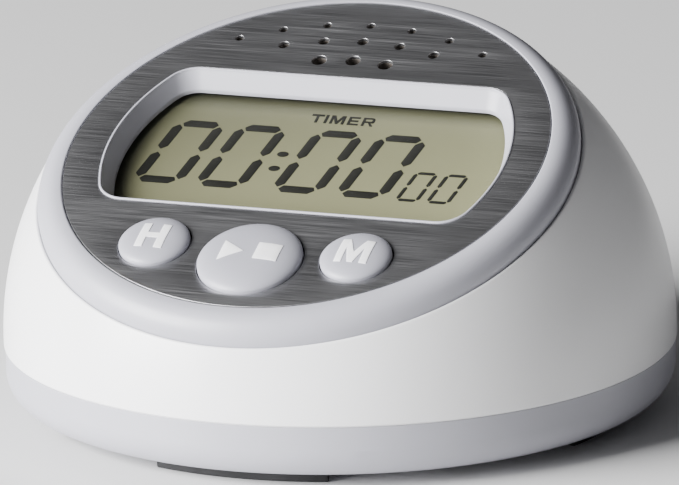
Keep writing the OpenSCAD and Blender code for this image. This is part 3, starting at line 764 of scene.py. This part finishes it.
def footLoop(shape, middle):
    # curved bar with rounded ends, centred on the direction middle
    turn = np.radians(middle + np.linspace(-shape["half"], shape["half"], 41))
    outer = np.stack([shape["outer"] * np.cos(turn), shape["outer"] * np.sin(turn)], 1)
    inner = np.stack([shape["inner"] * np.cos(turn[::-1]), shape["inner"] * np.sin(turn[::-1])], 1)
    corners = np.concatenate([outer, inner])
    radii = np.zeros(len(corners))
    radii[[0, 40, 41, 81]] = shape["round"]
    return softCorners(corners, radii, 6)


for node, middle in footPlaces.items():
    name = node.split("_")[0] + "FootPad"
    pad = platePiece(name, [footLoop(footShape, middle)], 0.0, footShape["top"], 0.3, placeUpright,
                     finish["rubberBlack"])
    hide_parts(node)

doorLow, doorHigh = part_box("battery_door")
doorShape = {"halfWidth": 25.5, "front": doorLow.y / mm, "rear": doorHigh.y / mm,
             "low": doorLow.z / mm + 0.4, "high": doorHigh.z / mm, "corner": 1.2}


def boxLoop(x0, y0, x1, y1, r):
    return softCorners([(x0, y0), (x1, y0), (x1, y1), (x0, y1)], [r] * 4, 7)


doorLoop = boxLoop(-doorShape["halfWidth"], doorShape["front"], doorShape["halfWidth"], doorShape["rear"],
                   doorShape["corner"])
door = platePiece("batteryDoorPlate", [doorLoop],
                  doorShape["low"], doorShape["high"], 0.18, placeUpright, finish["trimGrey"], "door")
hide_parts("battery_door")
for i, start in enumerate((3.0, 17.0)):
    for side in (-1, 1):
        y = doorShape["front"] + start
        x = sorted((side * 25.2, side * 26.9))
        name = "doorTab%d%s" % (i, "L" if side < 0 else "R")
        loop = boxLoop(x[0], y, x[1], y + 6, 0.3)
        tab = platePiece(name, [loop], doorShape["high"] - 0.8, doorShape["high"] - 0.02, 0.08,
                         placeUpright, finish["trimGrey"], "door")
for i in range(4):
    y = doorShape["rear"] - 3.2 - 1.8 * i
    rib = platePiece("doorRib%d" % i, [boxLoop(-8, y - 0.8, 8, y, 0.38)], doorLow.z / mm,
                     doorShape["low"] + 0.2,
                     0.25, placeUpright, finish["trimGrey"], "door")

knobLow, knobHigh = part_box("volume_knob")
knobShape = {"halfWidth": 2.5, "ridges": 5, "ridgeDepth": 0.3, "back": 44.4, "forkHalf": 1.2,
             "forkFront": 40.6}


def knobLoop(shape):
    # plan of the knob: y = rear + depth * |sin| along its outer side
    x = np.linspace(shape["halfWidth"], -shape["halfWidth"], 61)
    wave = np.abs(np.sin(np.linspace(0, shape["ridges"] * math.pi, 61)))
    outer = np.stack([x, knobHigh.y / mm - shape["ridgeDepth"] * (1 - wave)], 1)
    wide, fork, back, front = shape["halfWidth"], shape["forkHalf"], shape["back"], shape["forkFront"]
    inner = [(-wide, back), (-fork, back), (-fork, front), (fork, front), (fork, back), (wide, back)]
    return np.concatenate([outer, inner])


def placeKnob(p):
    # the plan stands on its side: plan height becomes z about the knob's middle
    return placeUpright(p + [0, 0, (knobLow.z + knobHigh.z) / 2 / mm])


knobHalf = (knobHigh.z - knobLow.z) / 2 / mm
knob = platePiece("volumeKnob", [knobLoop(knobShape)], -knobHalf, knobHalf, 0.15,
                  placeKnob, finish["switchBlack"], "knob")
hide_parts("volume_knob")
print("lab timer: feet, door and knob made")


def floorMaterial():
    material, tree, shader = startMaterial("paleFloor", (0.84, 0.84, 0.84), 0.6)
    tree.links.new(twoTone(tree, grain(tree, 3, 2), (0.83, 0.83, 0.83), (0.85, 0.85, 0.85)),
                   shader.inputs["Base Color"])
    return material


floorMesh = bpy.data.meshes.new("floor")
floorMesh.from_pydata([(-6, -6, 0), (6, -6, 0), (6, 6, 0), (-6, 6, 0)], [], [(0, 1, 2, 3)])
floorMesh.materials.append(floorMaterial())
floor = bpy.data.objects.new("floor", floorMesh)
scene.collection.objects.link(floor)

studio = {
    "keyTurn": -46.0, "keyRise": 19.0, "keyReach": 1.15, "keyPower": 75.0, "keySize": 0.8,
    "worldTone": (0.075, 0.075, 0.078),
}


def areaLight(name, place, power, size):
    data = bpy.data.lights.new(name, "AREA")
    data.energy = power
    data.size = size
    lamp = bpy.data.objects.new(name, data)
    lamp.location = place
    lamp.rotation_euler = (Vector((0, 0, 0.02)) - Vector(place)).to_track_quat("-Z", "Y").to_euler()
    scene.collection.objects.link(lamp)


keyTurn, keyRise = math.radians(studio["keyTurn"]), math.radians(studio["keyRise"])
keyWay = Vector((math.sin(keyTurn) * math.cos(keyRise), -math.cos(keyTurn) * math.cos(keyRise),
                 math.sin(keyRise)))
areaLight("keyLight", keyWay * studio["keyReach"], studio["keyPower"], studio["keySize"])
world = bpy.data.worlds.new("studioRoom")
world.use_nodes = True
world.node_tree.nodes["Background"].inputs["Color"].default_value = (*studio["worldTone"], 1)
scene.world = world

view = {"azimuth": 20.75, "elevation": 14.85, "roll": -1.08, "distance": 1205.8, "lens": 455.8,
        "aimZ": 13.48, "aimSide": 0.11}


def placeCamera(view):
    # the camera looks along -back; azimuth turns it from -Y towards +X
    az, el, roll = (math.radians(view[k]) for k in ("azimuth", "elevation", "roll"))
    back = Vector((math.sin(az) * math.cos(el), -math.cos(az) * math.cos(el), math.sin(el)))
    right = Vector((math.cos(az), math.sin(az), 0))
    up = back.cross(right)
    side = right * math.cos(roll) + up * math.sin(roll)
    top = up * math.cos(roll) - right * math.sin(roll)
    data = bpy.data.cameras.new("camera")
    data.sensor_width = 36
    data.lens = view["lens"]
    data.clip_start = 0.05
    data.clip_end = 50
    camera = bpy.data.objects.new("camera", data)
    aim = Vector((0, 0, body["seamZ"] + view["aimZ"])) + right * view["aimSide"]
    spot = (aim + back * view["distance"]) * mm
    camera.matrix_world = Matrix.Translation(spot) @ Matrix((side, top, back)).transposed().to_4x4()
    scene.collection.objects.link(camera)
    scene.camera = camera


placeCamera(view)
print("lab timer: camera and light set")
